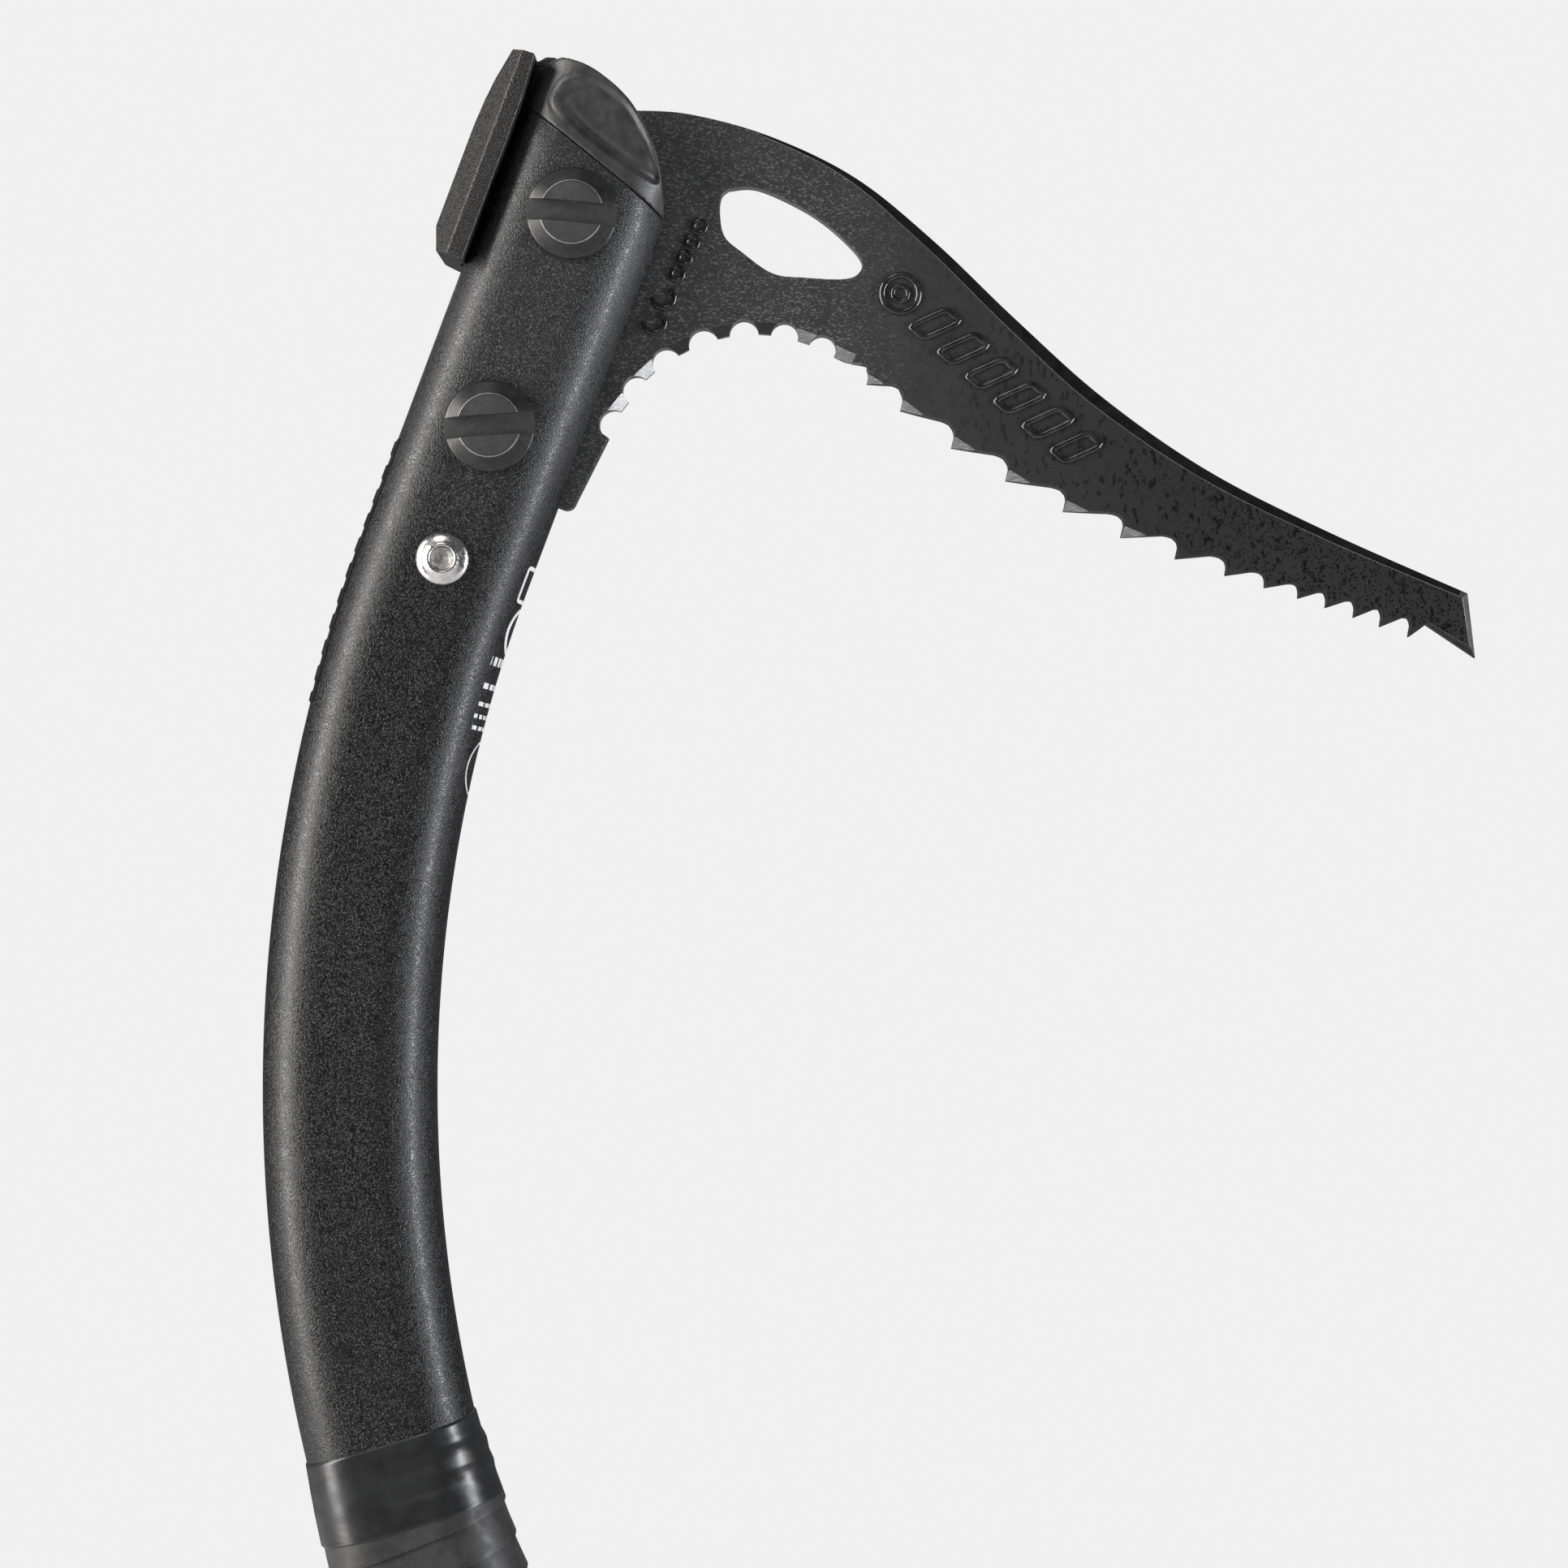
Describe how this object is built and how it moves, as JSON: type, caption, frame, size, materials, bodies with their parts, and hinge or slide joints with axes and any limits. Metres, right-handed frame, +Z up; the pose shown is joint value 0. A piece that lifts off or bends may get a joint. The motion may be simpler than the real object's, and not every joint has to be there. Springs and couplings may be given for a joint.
{
  "type": "ice axe",
  "caption": "Technical climbing ice axe with a bowed oval shaft, a bolted toothed pick with a clip hole, a hammer plate, a taped grip, a hand rest and a spike.",
  "frame": {"origin": "middle of the lower grip, on the shaft's centreline", "axes": "+Z up the tool from spike to head, +X toward the pick's point, +Y across the tool; the tool is flat about the plane y = 0"},
  "size_m": [0.2171, 0.0326, 0.5016],
  "materials": {
    "shaft_aluminium": "black orange-peel powder coat, satin",
    "pick_steel": "black grainy lacquer on forged steel, glossier and pitted toward the point",
    "hammer_steel": "black grainy lacquer on steel, satin",
    "bolt_steel": "blackened, turned",
    "rivet_steel": "bright, pressed",
    "mandrel_steel": "dull, broken end",
    "cap_rubber": "soft matt, moulded",
    "liner_plastic": "moulded, matt",
    "gloss_tape": "stretched finishing tape, glossy",
    "grip_rubber": "matt wound rubber tape",
    "rest_plastic": "moulded, fine texture"
  },
  "bodies": {
    "axe": {"shaft": "shaft_aluminium", "spine_strip": "cap_rubber", "tape_band": "gloss_tape", "grip_tape": "grip_rubber", "pick": "pick_steel", "hammer": "hammer_steel", "head_insert": "liner_plastic", "head_cap": "cap_rubber", "upper_nut": "bolt_steel", "lower_nut": "bolt_steel", "head_rivet": "rivet_steel", "rivet_mandrel": "mandrel_steel", "end_plug": "liner_plastic", "spike": "pick_steel", "spike_pin_upper": "rivet_steel", "spike_pin_lower": "rivet_steel", "hand_rest": "rest_plastic", "rest_nut": "bolt_steel"},
    "upper_bolt_body": {"upper_bolt": "bolt_steel"},
    "lower_bolt_body": {"lower_bolt": "bolt_steel"},
    "rest_screw_body": {"rest_screw": "bolt_steel"}
  },
  "joints": [
    {"name": "upper_bolt_turn", "type": "hinge", "parent": "axe", "child": "upper_bolt_body", "pos_m": [-0.0186, 0, 0.3536], "axis": [0, -1, 0], "continuous": true},
    {"name": "lower_bolt_turn", "type": "hinge", "parent": "axe", "child": "lower_bolt_body", "pos_m": [-0.03312, 0, 0.31611], "axis": [0, -1, 0], "continuous": true},
    {"name": "rest_screw_turn", "type": "hinge", "parent": "axe", "child": "rest_screw_body", "pos_m": [0.02248, 0, -0.05563], "axis": [0, -1, 0], "continuous": true}
  ]
}
